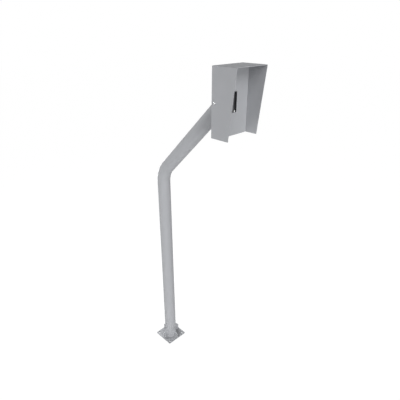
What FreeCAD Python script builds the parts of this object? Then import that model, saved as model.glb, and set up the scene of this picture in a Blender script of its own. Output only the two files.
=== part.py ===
import FreeCAD, Part
import math
import os
import Sketcher

# A card reader pedestal: a bent round tube on a gusseted base plate carries a sheet-metal hood with
# a face plate for the reader. Millimetres and degrees, +Z up, the hood faces -Y, and the origin is the
# middle of the base plate's underside, on the upright's axis.

# The sizes that someone would change, each with what it measures.
SIZES = [
    ("base_side", 116, "side of the square base plate"),
    ("base_thickness", 6.35, "thickness of the base plate"),
    ("anchor_spacing", 92.5, "distance between neighbouring anchor holes"),
    ("anchor_hole", 10.5, "diameter of an anchor hole"),
    ("tube_od", 60.3, "outside diameter of the tube"),
    ("tube_wall", 3.9, "wall of the tube"),
    ("bend_height", 1016.5, "height at which the upright's and the arm's axes cross"),
    ("bend_radius", 120, "centreline radius of the bend"),
    ("arm_lean", 45, "angle between the arm and the upright"),
    ("reach", 382, "from the upright's axis to the hood's rear edge"),
    ("gusset_thickness", 6, "thickness of a gusset"),
    ("gusset_height", 55, "height of a gusset at the tube"),
    ("gusset_edge_height", 25, "height of a gusset's outer edge"),
    ("gusset_land", 3, "flat at the top of a gusset"),
    ("gusset_inset", 1, "from a gusset's outer edge to the plate's edge"),
    ("gusset_snipe", 7, "corner cut off a gusset to clear the foot weld"),
    ("hood_width", 162, "outside width of the hood"),
    ("hood_height", 247.5, "height of the hood"),
    ("hood_top_depth", 108.5, "depth of the hood's top"),
    ("hood_bottom_depth", 79.5, "depth of the hood's sides at the bottom"),
    ("hood_sheet", 2, "sheet thickness of the hood"),
    ("hood_bend", 1, "inside radius of the hood's folds"),
    ("arm_entry", 130.5, "height above the hood's bottom where the arm's axis meets the back plate"),
    ("back_sheet", 3, "sheet thickness of the back plate"),
    ("back_recess", 3, "from the hood's rear edge to the back plate"),
    ("back_bend", 1.5, "inside radius of the back plate's fold"),
    ("bend_relief", 1.5, "from the back plate's fold to the end of its relief notches"),
    ("lip_corner", 3, "radius of the lip's front corners"),
    ("cable_hole", 30, "diameter of the cable hole in the back plate"),
    ("box_hole", 8.5, "diameter of the box holes in the back plate"),
    ("box_hole_across", 76, "distance between box holes across the hood"),
    ("box_hole_rise", 81, "distance between box holes up the hood"),
    ("face_setback", 31, "from the hood's rear edge to the front of the face plate"),
    ("face_rise", 2, "height of the face plate's bottom above the hood's bottom"),
    ("face_sheet", 1.5, "sheet thickness of the face plate"),
    ("face_bend", 0.5, "inside radius of the face plate's folds"),
    ("fit_gap", 0.3, "gap round the face plate and the lip"),
    ("cutout_width", 36, "width of the reader cut-out"),
    ("cutout_height", 73, "height of the reader cut-out"),
    ("cutout_above", 84, "from the hood's bottom to the cut-out"),
    ("cutout_corner", 1.5, "corner radius of the cut-out"),
    ("screw_setback", 11.3, "from the hood's rear edge to the screws' axis"),
    ("screw_above", 124, "from the hood's bottom to the screws' axis"),
    ("screw_diameter", 5, "diameter of a screw"),
    ("screw_length", 10, "length of a screw under its head"),
    ("screw_play", 0.5, "extra diameter of the screw holes in the hood"),
    ("thread_play", 0.1, "extra diameter of a nut's bore"),
    ("head_diameter", 9.5, "diameter of a screw's head"),
    ("head_height", 2.8, "height of a screw's head"),
    ("head_round", 2.2, "radius of a screw head's rim"),
    ("socket_across", 3, "width of a screw's hexagon socket across its flats"),
    ("socket_depth", 1.6, "depth of a screw's socket"),
    ("nut_diameter", 9, "diameter of a clinch nut"),
    ("nut_height", 4, "height of a clinch nut behind the flange"),
    ("nut_shank", 6.4, "diameter of a clinch nut's shank in the flange"),
    ("foot_bead", 5, "leg of the weld round the foot of the post"),
    ("gusset_bead", 4, "leg of the welds along the gussets"),
    ("arm_bead", 5, "leg of the weld round the end of the arm"),
    ("arm_bead_toe", 0.5, "thickness of that weld at its outer end"),
    ("hood_bead", 2.5, "leg of the stitch welds in the hood"),
    ("stitch_length", 25, "length of a stitch weld"),
    ("stitch_margin", 18, "from the ends of a seam to its first stitch"),
]

SHEET_NAME = "Sizes"
SIDE_STITCHES = 3
GUSSETS = ["gusset_right", "gusset_rear", "gusset_left", "gusset_front"]
TOUCH = 1e-4

# Sizes that several pieces share, worked out from the driving ones.
TUBE_RADIUS = "(Sizes.tube_od / 2)"
BORE_RADIUS = "(Sizes.tube_od / 2 - Sizes.tube_wall)"
PLATE_REACH = "(Sizes.reach + Sizes.back_recess)"
HOOD_BOTTOM = f"(Sizes.bend_height + {PLATE_REACH} / tan(Sizes.arm_lean) - Sizes.arm_entry)"
HOOD_INSIDE = "(Sizes.hood_width / 2 - Sizes.hood_sheet)"
HOOD_CEILING = "(Sizes.hood_height - Sizes.hood_sheet)"
FACE_OUTSIDE = f"({HOOD_INSIDE} - Sizes.fit_gap)"
FACE_INSIDE = f"({FACE_OUTSIDE} - Sizes.face_sheet)"
LIP_HALF = f"({FACE_INSIDE} - Sizes.fit_gap)"
LIP_END = "(Sizes.face_setback - Sizes.face_sheet - Sizes.fit_gap - Sizes.back_recess)"
BACK_FOLD = "(Sizes.back_bend + Sizes.back_sheet)"
GUSSET_REACH = "(Sizes.base_side / 2 - Sizes.gusset_inset)"

doc = FreeCAD.newDocument("card_reader_pedestal")
sheet = doc.addObject("Spreadsheet::Sheet", SHEET_NAME)
for row, (alias, number, meaning) in enumerate(SIZES, start=1):
    sheet.set(f"A{row}", meaning)
    sheet.set(f"B{row}", str(number))
    sheet.setAlias(f"B{row}", alias)
doc.recompute()


def value(expression):
    """What an expression on the sheet comes to now."""
    return float(sheet.evalExpression(expression))


def minus(expression):
    """The same distance the other way."""
    return f"-({expression})"


def new_body(name, y="0", z="0", turn=0):
    """A piece with its own name, place and turn about the upright."""
    body = doc.addObject("PartDesign::Body", name)
    body.Label = name
    body.Placement = FreeCAD.Placement(
        FreeCAD.Vector(), FreeCAD.Rotation(FreeCAD.Vector(0, 0, 1), turn))
    body.setExpression("Placement.Base.y", y)
    body.setExpression("Placement.Base.z", z)
    return body


def origin_item(body, role):
    """One of the body's own origin planes or axes."""
    return next(item for item in body.Origin.OriginFeatures if item.Role == role)


def new_sketch(body, name, plane, offset="0"):
    """An empty sketch on an origin plane, moved along the plane's normal."""
    sketch = body.newObject("Sketcher::SketchObject", name)
    sketch.AttachmentSupport = [(origin_item(body, plane), "")]
    sketch.MapMode = "FlatFace"
    sketch.setExpression("AttachmentOffset.Base.z", offset)
    sketch.Visibility = False
    return sketch


def hold(sketch, geometry, point, across, up):
    """Hold one point of a sketch at two distances from the sketch's origin."""
    for kind, axis, distance in (("DistanceX", -2, across), ("DistanceY", -1, up)):
        if distance == "0":
            sketch.addConstraint(Sketcher.Constraint("PointOnObject", geometry, point, axis))
            continue
        start = value(distance)
        number = sketch.addConstraint(Sketcher.Constraint(kind, -1, 1, geometry, point, start))
        sketch.setExpression(f"Constraints[{number}]", distance)


def spot(across, up):
    """A point of a sketch where two expressions put it now."""
    return FreeCAD.Vector(value(across), value(up), 0)


def add_outline(sketch, corners):
    """A closed outline of straight sides, each corner held by two expressions."""
    first = sketch.GeometryCount
    count = len(corners)
    for number in range(count):
        line = Part.LineSegment(spot(*corners[number]), spot(*corners[(number + 1) % count]))
        sketch.addGeometry(line, False)
    for number in range(count):
        following = first + (number + 1) % count
        sketch.addConstraint(Sketcher.Constraint("Coincident", first + number, 2, following, 1))
        hold(sketch, first + number, 1, *corners[number])


def add_circle(sketch, across, up, radius):
    """A circle held at its centre, with its radius on the sheet."""
    circle = Part.Circle(spot(across, up), FreeCAD.Vector(0, 0, 1), value(radius))
    number = sketch.addGeometry(circle, False)
    hold(sketch, number, 3, across, up)
    constraint = sketch.addConstraint(Sketcher.Constraint("Radius", number, value(radius)))
    sketch.setExpression(f"Constraints[{constraint}]", radius)


def rectangle(left, right, low, high):
    """The four corners of an upright rectangle."""
    return [(left, low), (right, low), (right, high), (left, high)]


def pad(body, sketch, length, centred=False):
    """Pad a sketch along its normal, or half each way."""
    feature = body.newObject("PartDesign::Pad", f"{sketch.Name}_pad")
    feature.Profile = sketch
    feature.SideType = "Symmetric" if centred else "One side"
    feature.setExpression("Length", length)
    doc.recompute()
    return feature


def revolve(body, sketch, axis):
    """Turn a sketch all the way round one of its own axes."""
    feature = body.newObject("PartDesign::Revolution", f"{sketch.Name}_turned")
    feature.Profile = sketch
    feature.ReferenceAxis = (sketch, [axis])
    feature.Angle = 360
    doc.recompute()
    return feature


def must_cut(body, before):
    """A cut that takes nothing away points the wrong way."""
    if body.Shape.Volume > before - TOUCH:
        raise RuntimeError(f"{body.Tip.Name} cuts nothing")


def cut_through(body, sketch):
    """Cut a sketch through the whole body, both ways."""
    before = body.Shape.Volume
    feature = body.newObject("PartDesign::Pocket", f"{sketch.Name}_cut")
    feature.Profile = sketch
    feature.SideType = "Symmetric"
    feature.Type = "ThroughAll"
    doc.recompute()
    must_cut(body, before)
    return feature


def edges_along(shape, axis, places):
    """Names of the edges that run along one axis through the given places on the other two."""
    others = [letter for letter in "xyz" if letter != axis]
    names = []
    for number, edge in enumerate(shape.Edges, start=1):
        ends = [vertex.Point for vertex in edge.Vertexes]
        for place in places:
            held = [abs(getattr(end, letter) - value(at)) < TOUCH
                    for end in ends for letter, at in zip(others, place)]
            if len(ends) == 2 and all(held):
                names.append(f"Edge{number}")
    return names


def round_edges(body, name, axis, places, radius):
    """Round the edges that run along one axis at the given places."""
    base = body.Tip
    edges = edges_along(base.Shape, axis, places)
    if len(edges) != len(places):
        raise RuntimeError(f"{name} finds {len(edges)} edges for {len(places)} places")
    feature = body.newObject("PartDesign::Fillet", name)
    feature.Base = (base, edges)
    feature.setExpression("Radius", radius)
    doc.recompute()
    return feature


def mirror_all(body, name, plane):
    """Mirror the whole body about one of its origin planes and keep both halves."""
    feature = body.newObject("PartDesign::Mirrored", name)
    feature.TransformMode = "Whole shape"
    feature.MirrorPlane = (origin_item(body, plane), [""])
    body.Tip = feature
    doc.recompute()
    return feature


def base_plate():
    """Square plate with an anchor hole in each corner and the tube's bore in the middle."""
    body = new_body("base_plate")
    half = "Sizes.base_side / 2"
    outline = new_sketch(body, "plate_outline", "XY_Plane")
    add_outline(outline, rectangle(minus(half), half, minus(half), half))
    add_circle(outline, "0", "0", BORE_RADIUS)
    pad(body, outline, "Sizes.base_thickness")
    holes = new_sketch(body, "anchor_holes", "XY_Plane")
    for side in ("", "-"):
        for end in ("", "-"):
            add_circle(holes, f"{side}Sizes.anchor_spacing / 2", f"{end}Sizes.anchor_spacing / 2",
                       "Sizes.anchor_hole / 2")
    cut_through(body, holes)


def post_tube():
    """Gooseneck tube: upright, one bend and a straight arm cut off upright at the back plate."""
    body = new_body("post_tube", z="Sizes.base_thickness")
    crossing = "(Sizes.bend_height - Sizes.base_thickness)"
    bend_start = f"({crossing} - Sizes.bend_radius * tan(Sizes.arm_lean / 2))"
    overrun = f"({PLATE_REACH} + Sizes.tube_od)"
    arm_top = f"({crossing} + {overrun} / tan(Sizes.arm_lean))"
    points = [
        ("0", "0"),
        ("0", bend_start),
        ("-Sizes.bend_radius * (1 - cos(Sizes.arm_lean))",
         f"{bend_start} + Sizes.bend_radius * sin(Sizes.arm_lean)"),
        (minus(overrun), arm_top),
    ]
    line = new_sketch(body, "tube_line", "YZ_Plane")
    add_tube_line(line, points)
    for part, radius, kind in (("tube_outside", TUBE_RADIUS, "PartDesign::AdditivePipe"),
                               ("tube_bore", BORE_RADIUS, "PartDesign::SubtractivePipe")):
        section = new_sketch(body, part, "XY_Plane")
        add_circle(section, "0", "0", radius)
        pipe = body.newObject(kind, f"{part}_pipe")
        pipe.Profile = section
        pipe.Spine = (line, ["Edge1", "Edge2", "Edge3"])
        doc.recompute()
    end = new_sketch(body, "arm_end", "YZ_Plane")
    beyond = f"({overrun} + Sizes.tube_od)"
    add_outline(end, rectangle(minus(beyond), minus(PLATE_REACH), crossing,
                               f"{arm_top} + Sizes.tube_od"))
    cut_through(body, end)


def add_tube_line(sketch, points):
    """Upright, arc and arm, joined end to end, with the arc on the bend's radius."""
    upright = sketch.addGeometry(Part.LineSegment(spot(*points[0]), spot(*points[1])), False)
    radius = value("Sizes.bend_radius")
    centre = spot(*points[1]) + FreeCAD.Vector(-radius, 0, 0)
    circle = Part.Circle(centre, FreeCAD.Vector(0, 0, 1), radius)
    lean = math.radians(value("Sizes.arm_lean"))
    bend = sketch.addGeometry(Part.ArcOfCircle(circle, 0, lean), False)
    arm = sketch.addGeometry(Part.LineSegment(spot(*points[2]), spot(*points[3])), False)
    sketch.addConstraint(Sketcher.Constraint("Coincident", upright, 2, bend, 1))
    sketch.addConstraint(Sketcher.Constraint("Coincident", bend, 2, arm, 1))
    held = sketch.addConstraint(Sketcher.Constraint("Radius", bend, radius))
    sketch.setExpression(f"Constraints[{held}]", "Sizes.bend_radius")
    hold(sketch, upright, 1, *points[0])
    hold(sketch, upright, 2, *points[1])
    hold(sketch, arm, 1, *points[2])
    hold(sketch, arm, 2, *points[3])


def gusset(name, turn):
    """Upright plate between the tube and the edge of the base plate."""
    body = new_body(name, z="Sizes.base_thickness", turn=turn)
    outline = new_sketch(body, f"{name}_outline", "XZ_Plane")
    add_outline(outline, [
        (TUBE_RADIUS, "Sizes.gusset_snipe"),
        (f"{TUBE_RADIUS} + Sizes.gusset_snipe", "0"),
        (GUSSET_REACH, "0"),
        (GUSSET_REACH, "Sizes.gusset_edge_height"),
        (f"{TUBE_RADIUS} + Sizes.gusset_land", "Sizes.gusset_height"),
        (TUBE_RADIUS, "Sizes.gusset_height"),
    ])
    pad(body, outline, "Sizes.gusset_thickness", centred=True)


def foot_weld():
    """Bead all round the foot of the post."""
    body = new_body("foot_weld", z="Sizes.base_thickness")
    bead = new_sketch(body, "foot_bead_section", "XZ_Plane")
    add_outline(bead, [
        (TUBE_RADIUS, "0"),
        (f"{TUBE_RADIUS} + Sizes.foot_bead", "0"),
        (TUBE_RADIUS, "Sizes.foot_bead"),
    ])
    revolve(body, bead, "V_Axis")


def repeat_round_post(body, name):
    """Both sides of one gusset, then all four gussets."""
    mirror_all(body, f"{name}_both_sides", "XZ_Plane")
    pattern = body.newObject("PartDesign::PolarPattern", f"{name}_round_post")
    pattern.TransformMode = "Whole shape"
    pattern.Axis = (origin_item(body, "Z_Axis"), [""])
    pattern.Angle = 360
    pattern.Occurrences = len(GUSSETS)
    body.Tip = pattern
    doc.recompute()


def gusset_foot_welds():
    """Beads along both sides of each gusset on the base plate."""
    body = new_body("gusset_foot_welds", z="Sizes.base_thickness")
    side = "Sizes.gusset_thickness / 2"
    start = f"({TUBE_RADIUS} + Sizes.gusset_snipe)"
    bead = new_sketch(body, "gusset_foot_section", "YZ_Plane", offset=start)
    add_outline(bead, [(side, "0"), (f"{side} + Sizes.gusset_bead", "0"), (side, "Sizes.gusset_bead")])
    pad(body, bead, f"{GUSSET_REACH} - {start}")
    repeat_round_post(body, "gusset_foot_welds")


def gusset_post_welds():
    """Beads up both sides of each gusset, between its face and the round of the tube."""
    body = new_body("gusset_post_welds", z="Sizes.base_thickness")
    near = "(Sizes.gusset_thickness / 2)"
    far = f"({near} + Sizes.gusset_bead)"
    bead = new_sketch(body, "gusset_post_section", "XY_Plane", offset="Sizes.gusset_snipe")
    on_tube = [(f"sqrt({TUBE_RADIUS} ^ 2 - {across} ^ 2)", across) for across in (near, far)]
    outer = (f"{on_tube[0][0]} + Sizes.gusset_bead", near)
    add_tube_corner(bead, on_tube[0], outer, on_tube[1])
    pad(body, bead, "Sizes.gusset_height - Sizes.gusset_snipe - Sizes.gusset_bead")
    repeat_round_post(body, "gusset_post_welds")


def add_tube_corner(sketch, low, outer, high):
    """Three-cornered bead section whose inner side is an arc of the tube."""
    face = sketch.addGeometry(Part.LineSegment(spot(*low), spot(*outer)), False)
    slope = sketch.addGeometry(Part.LineSegment(spot(*outer), spot(*high)), False)
    circle = Part.Circle(FreeCAD.Vector(), FreeCAD.Vector(0, 0, 1), value(TUBE_RADIUS))
    start, end = (math.atan2(value(up), value(across)) for across, up in (low, high))
    arc = sketch.addGeometry(Part.ArcOfCircle(circle, start, end), False)
    sketch.addConstraint(Sketcher.Constraint("Coincident", face, 2, slope, 1))
    sketch.addConstraint(Sketcher.Constraint("Coincident", slope, 2, arc, 2))
    sketch.addConstraint(Sketcher.Constraint("Coincident", arc, 1, face, 1))
    held = sketch.addConstraint(Sketcher.Constraint("Radius", arc, value(TUBE_RADIUS)))
    sketch.setExpression(f"Constraints[{held}]", TUBE_RADIUS)
    hold(sketch, face, 1, *low)
    hold(sketch, face, 2, *outer)
    hold(sketch, slope, 2, *high)


def hood_body(name, back="0"):
    """A piece of the hood, placed from the hood's rear edge and bottom."""
    return new_body(name, y=f"-Sizes.reach - ({back})", z=HOOD_BOTTOM)


def hood_shell():
    """Folded canopy: flat top and two sides whose front edges slant back to the bottom."""
    body = hood_body("hood_shell")
    outside = "(Sizes.hood_width / 2)"
    fold = new_sketch(body, "hood_fold", "XZ_Plane")
    add_outline(fold, [
        (minus(outside), "0"),
        (minus(HOOD_INSIDE), "0"),
        (minus(HOOD_INSIDE), HOOD_CEILING),
        (HOOD_INSIDE, HOOD_CEILING),
        (HOOD_INSIDE, "0"),
        (outside, "0"),
        (outside, "Sizes.hood_height"),
        (minus(outside), "Sizes.hood_height"),
    ])
    pad(body, fold, "Sizes.hood_top_depth")
    tops = [(minus(outside), "Sizes.hood_height"), (outside, "Sizes.hood_height")]
    round_edges(body, "hood_outer_folds", "y", tops, "Sizes.hood_bend + Sizes.hood_sheet")
    corners = [(minus(HOOD_INSIDE), HOOD_CEILING), (HOOD_INSIDE, HOOD_CEILING)]
    round_edges(body, "hood_inner_folds", "y", corners, "Sizes.hood_bend")
    slant = new_sketch(body, "hood_slant", "YZ_Plane")
    slant_top = "(Sizes.hood_height - Sizes.hood_sheet - Sizes.hood_bend)"
    add_outline(slant, [
        ("-Sizes.hood_top_depth", "0"),
        ("-Sizes.hood_bottom_depth", "0"),
        ("-Sizes.hood_top_depth", slant_top),
    ])
    cut_through(body, slant)
    hole = new_sketch(body, "hood_screw_hole", "YZ_Plane")
    add_circle(hole, "-Sizes.screw_setback", "Sizes.screw_above",
               "(Sizes.screw_diameter + Sizes.screw_play) / 2")
    cut_through(body, hole)


def back_plate():
    """Plate between the hood's sides, folded forward at the bottom into a lip."""
    body = hood_body("back_plate", back="Sizes.back_recess")
    notch = f"({BACK_FOLD} + Sizes.bend_relief)"
    wall = new_sketch(body, "back_wall", "XZ_Plane")
    add_outline(wall, [
        (minus(LIP_HALF), "0"),
        (LIP_HALF, "0"),
        (LIP_HALF, notch),
        (HOOD_INSIDE, notch),
        (HOOD_INSIDE, HOOD_CEILING),
        (minus(HOOD_INSIDE), HOOD_CEILING),
        (minus(HOOD_INSIDE), notch),
        (minus(LIP_HALF), notch),
    ])
    pad(body, wall, "Sizes.back_sheet")
    lip = new_sketch(body, "back_lip", "XZ_Plane")
    add_outline(lip, rectangle(minus(LIP_HALF), LIP_HALF, "0", "Sizes.back_sheet"))
    pad(body, lip, LIP_END)
    round_edges(body, "back_outer_fold", "x", [("0", "0")], BACK_FOLD)
    inner = [("-Sizes.back_sheet", "Sizes.back_sheet")]
    round_edges(body, "back_inner_fold", "x", inner, "Sizes.back_bend")
    front = [(minus(LIP_HALF), minus(LIP_END)), (LIP_HALF, minus(LIP_END))]
    round_edges(body, "lip_corners", "z", front, "Sizes.lip_corner")
    tops = [(minus(HOOD_INSIDE), HOOD_CEILING), (HOOD_INSIDE, HOOD_CEILING)]
    round_edges(body, "back_top_corners", "y", tops, "Sizes.hood_bend + Sizes.fit_gap")
    cable = new_sketch(body, "cable_hole", "XZ_Plane")
    add_circle(cable, "0", "Sizes.arm_entry", "Sizes.cable_hole / 2")
    cut_through(body, cable)
    cut_box_holes(body)


def cut_box_holes(body):
    """Four holes for a wiring box, centred behind the reader cut-out."""
    middle = "Sizes.cutout_above + Sizes.cutout_height / 2"
    holes = new_sketch(body, "box_holes", "XZ_Plane")
    for side in ("-", ""):
        for way in ("-", "+"):
            add_circle(holes, f"{side}Sizes.box_hole_across / 2",
                       f"{middle} {way} Sizes.box_hole_rise / 2", "Sizes.box_hole / 2")
    cut_through(body, holes)


def arm_weld():
    """Bead round the arm where its slanted end meets the back plate."""
    upright = FreeCAD.Rotation(FreeCAD.Vector(1, 1, 1), 240)
    rings = []
    for name, behind, leg in (("arm_bead_wide", "0", "Sizes.arm_bead"),
                              ("arm_bead_narrow", "Sizes.arm_bead", "Sizes.arm_bead_toe")):
        ring = doc.addObject("Part::Ellipse", name)
        ring.setExpression("MajorRadius", f"{TUBE_RADIUS} / sin(Sizes.arm_lean) + {leg}")
        ring.setExpression("MinorRadius", f"{TUBE_RADIUS} + {leg}")
        ring.Placement = FreeCAD.Placement(FreeCAD.Vector(), upright)
        ring.setExpression("Placement.Base.y", f"{behind} - {PLATE_REACH}")
        ring.setExpression("Placement.Base.z",
                           f"Sizes.bend_height + ({PLATE_REACH} - {behind}) / tan(Sizes.arm_lean)")
        rings.append(ring)
    mound = doc.addObject("Part::Loft", "arm_bead_mound")
    mound.Sections = rings
    mound.Solid = True
    mound.Ruled = True
    arm = doc.addObject("Part::Cylinder", "arm_outside")
    arm.setExpression("Radius", TUBE_RADIUS)
    arm.setExpression("Height", f"({PLATE_REACH} + Sizes.tube_od) / sin(Sizes.arm_lean)")
    lean = FreeCAD.Rotation(FreeCAD.Vector(1, 0, 0), value("Sizes.arm_lean"))
    arm.Placement = FreeCAD.Placement(FreeCAD.Vector(), lean)
    arm.setExpression("Placement.Rotation.Angle", "Sizes.arm_lean")
    arm.setExpression("Placement.Base.z", "Sizes.bend_height")
    bead = doc.addObject("Part::Cut", "arm_weld")
    bead.Label = "arm_weld"
    bead.Base = mound
    bead.Tool = arm
    doc.recompute()
    return bead


def hood_welds():
    """Stitches behind the back plate: three down each side and one each side of the top."""
    body = hood_body("hood_welds")
    depth = "-Sizes.back_recess"
    side = new_sketch(body, "side_stitch_section", "XY_Plane", offset="Sizes.stitch_margin")
    add_outline(side, [
        (HOOD_INSIDE, depth),
        (HOOD_INSIDE, f"{depth} + Sizes.hood_bead"),
        (f"{HOOD_INSIDE} - Sizes.hood_bead", depth),
    ])
    stitch = pad(body, side, "Sizes.stitch_length")
    row = body.newObject("PartDesign::LinearPattern", "side_stitches")
    row.Originals = [stitch]
    row.Direction = (origin_item(body, "Z_Axis"), [""])
    row.setExpression("Length", f"{HOOD_CEILING} - 2 * Sizes.stitch_margin - Sizes.stitch_length")
    row.Occurrences = SIDE_STITCHES
    body.Tip = row
    doc.recompute()
    top = new_sketch(body, "top_stitch_section", "YZ_Plane", offset="Sizes.stitch_margin")
    add_outline(top, [
        (depth, HOOD_CEILING),
        (depth, f"{HOOD_CEILING} - Sizes.hood_bead"),
        (f"{depth} + Sizes.hood_bead", HOOD_CEILING),
    ])
    pad(body, top, "Sizes.stitch_length")
    mirror_all(body, "both_sides_of_hood", "YZ_Plane")


def face_plate():
    """Reader panel with a cut-out, folded back into a flange down each side."""
    body = hood_body("face_plate")
    front = "-Sizes.face_setback"
    rear = "-(Sizes.back_recess + Sizes.back_sheet + Sizes.fit_gap)"
    inner = f"({front} + Sizes.face_sheet)"
    fold = new_sketch(body, "face_fold", "XY_Plane", "Sizes.face_rise")
    add_outline(fold, [
        (minus(FACE_OUTSIDE), rear),
        (minus(FACE_OUTSIDE), front),
        (FACE_OUTSIDE, front),
        (FACE_OUTSIDE, rear),
        (FACE_INSIDE, rear),
        (FACE_INSIDE, inner),
        (minus(FACE_INSIDE), inner),
        (minus(FACE_INSIDE), rear),
    ])
    pad(body, fold, f"{HOOD_CEILING} - Sizes.face_rise - Sizes.fit_gap")
    outer_edges = [(minus(FACE_OUTSIDE), front), (FACE_OUTSIDE, front)]
    round_edges(body, "face_outer_folds", "z", outer_edges, "Sizes.face_bend + Sizes.face_sheet")
    inner_edges = [(minus(FACE_INSIDE), inner), (FACE_INSIDE, inner)]
    round_edges(body, "face_inner_folds", "z", inner_edges, "Sizes.face_bend")
    half = "Sizes.cutout_width / 2"
    top = "Sizes.cutout_above + Sizes.cutout_height"
    cutout = new_sketch(body, "reader_cutout", "XZ_Plane")
    add_outline(cutout, rectangle(minus(half), half, "Sizes.cutout_above", top))
    cut_through(body, cutout)
    corners = rectangle(minus(half), half, "Sizes.cutout_above", top)
    round_edges(body, "cutout_corners", "y", corners, "Sizes.cutout_corner")
    hole = new_sketch(body, "nut_hole", "YZ_Plane")
    add_circle(hole, "-Sizes.screw_setback", "Sizes.screw_above", "Sizes.nut_shank / 2")
    cut_through(body, hole)


def screw_body(name):
    """A fastener whose X axis is the screws' axis."""
    return new_body(name, y="-Sizes.reach - Sizes.screw_setback", z=f"{HOOD_BOTTOM} + Sizes.screw_above")


def face_screws():
    """Button-head screws through the hood's sides, each with a hexagon socket."""
    body = screw_body("face_screws")
    seat = "(Sizes.hood_width / 2)"
    tip = f"({seat} - Sizes.screw_length)"
    crown = f"({seat} + Sizes.head_height)"
    profile = new_sketch(body, "screw_profile", "XY_Plane")
    add_outline(profile, [
        (tip, "0"),
        (tip, "Sizes.screw_diameter / 2"),
        (seat, "Sizes.screw_diameter / 2"),
        (seat, "Sizes.head_diameter / 2"),
        (crown, "Sizes.head_diameter / 2"),
        (crown, "0"),
    ])
    revolve(body, profile, "H_Axis")
    round_head(body, crown)
    socket = new_sketch(body, "socket_outline", "YZ_Plane", offset=crown)
    corner = "Sizes.socket_across / sqrt(3)"
    add_outline(socket, [(f"{corner} * cos({angle})", f"{corner} * sin({angle})")
                         for angle in range(30, 390, 60)])
    before = body.Shape.Volume
    pocket = body.newObject("PartDesign::Pocket", "socket_cut")
    pocket.Profile = socket
    pocket.setExpression("Length", "Sizes.socket_depth")
    doc.recompute()
    must_cut(body, before)
    mirror_all(body, "screw_each_side", "YZ_Plane")


def round_head(body, crown):
    """Round the rim of the screw's head."""
    base = body.Tip
    rims = [f"Edge{number}" for number, edge in enumerate(base.Shape.Edges, start=1)
            if all(abs(vertex.X - value(crown)) < TOUCH for vertex in edge.Vertexes)
            and hasattr(edge.Curve, "Radius")]
    rounded = body.newObject("PartDesign::Fillet", "head_rim")
    rounded.Base = (base, rims)
    rounded.setExpression("Radius", "Sizes.head_round")
    doc.recompute()


def clinch_nuts():
    """Captive nuts pressed into the face plate's flanges."""
    body = screw_body("clinch_nuts")
    bore = "(Sizes.screw_diameter + Sizes.thread_play) / 2"
    profile = new_sketch(body, "nut_profile", "XY_Plane")
    add_outline(profile, [
        (f"{FACE_INSIDE} - Sizes.nut_height", bore),
        (f"{FACE_INSIDE} - Sizes.nut_height", "Sizes.nut_diameter / 2"),
        (FACE_INSIDE, "Sizes.nut_diameter / 2"),
        (FACE_INSIDE, "Sizes.nut_shank / 2"),
        (FACE_OUTSIDE, "Sizes.nut_shank / 2"),
        (FACE_OUTSIDE, bore),
    ])
    revolve(body, profile, "H_Axis")
    mirror_all(body, "nut_each_side", "YZ_Plane")


def build():
    """Make every piece."""
    base_plate()
    post_tube()
    quarter_turn = 360 / len(GUSSETS)
    for number, name in enumerate(GUSSETS):
        gusset(name, number * quarter_turn)
    foot_weld()
    gusset_foot_welds()
    gusset_post_welds()
    hood_shell()
    back_plate()
    hood_welds()
    face_plate()
    face_screws()
    clinch_nuts()
    bead = arm_weld()
    doc.recompute()
    return [item for item in doc.Objects if item.TypeId == "PartDesign::Body"] + [bead]


def check_model(pieces):
    """Stop if any object failed or any piece's shape is empty or not valid."""
    for item in doc.Objects:
        if any(state in ("Invalid", "Error") for state in item.State):
            raise RuntimeError(f"{item.Name} failed: {item.State}")
    for piece in pieces:
        if piece.Shape.isNull() or not piece.Shape.isValid() or not piece.Shape.Solids:
            raise RuntimeError(f"{piece.Label} has no sound solid")


def export(pieces):
    """Write each piece to a file with the piece's own name."""
    os.makedirs("parts", exist_ok=True)
    for piece in pieces:
        piece.Shape.exportStep(os.path.join("parts", f"{piece.Label}.step"))
        box = piece.Shape.optimalBoundingBox()
        print(f"{piece.Label}: {len(piece.Shape.Solids)} solids, {piece.Shape.Volume:.1f} mm3, "
              f"x {box.XMin:.1f} to {box.XMax:.1f}, y {box.YMin:.1f} to {box.YMax:.1f}, "
              f"z {box.ZMin:.1f} to {box.ZMax:.1f}")


finished = build()
check_model(finished)
export(finished)
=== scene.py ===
# %% [markdown]
# # A card reader pedestal
# A bent round tube stands on a gusseted base plate and carries a folded sheet-metal hood with a
# face plate for a card reader. All of it is welded steel under one coat of light grey powder, and
# two stainless screws hold the face plate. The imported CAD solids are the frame. This lesson gives
# each of them the shape and the finish that the workshop gives it: edges that the powder rounds
# off, weld beads with ripples, and folds that are smooth. Metres, +Z up, and the hood faces -Y.

# %% Load the frame
import bmesh
import bpy
import math
from mathutils import Matrix, Vector


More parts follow.
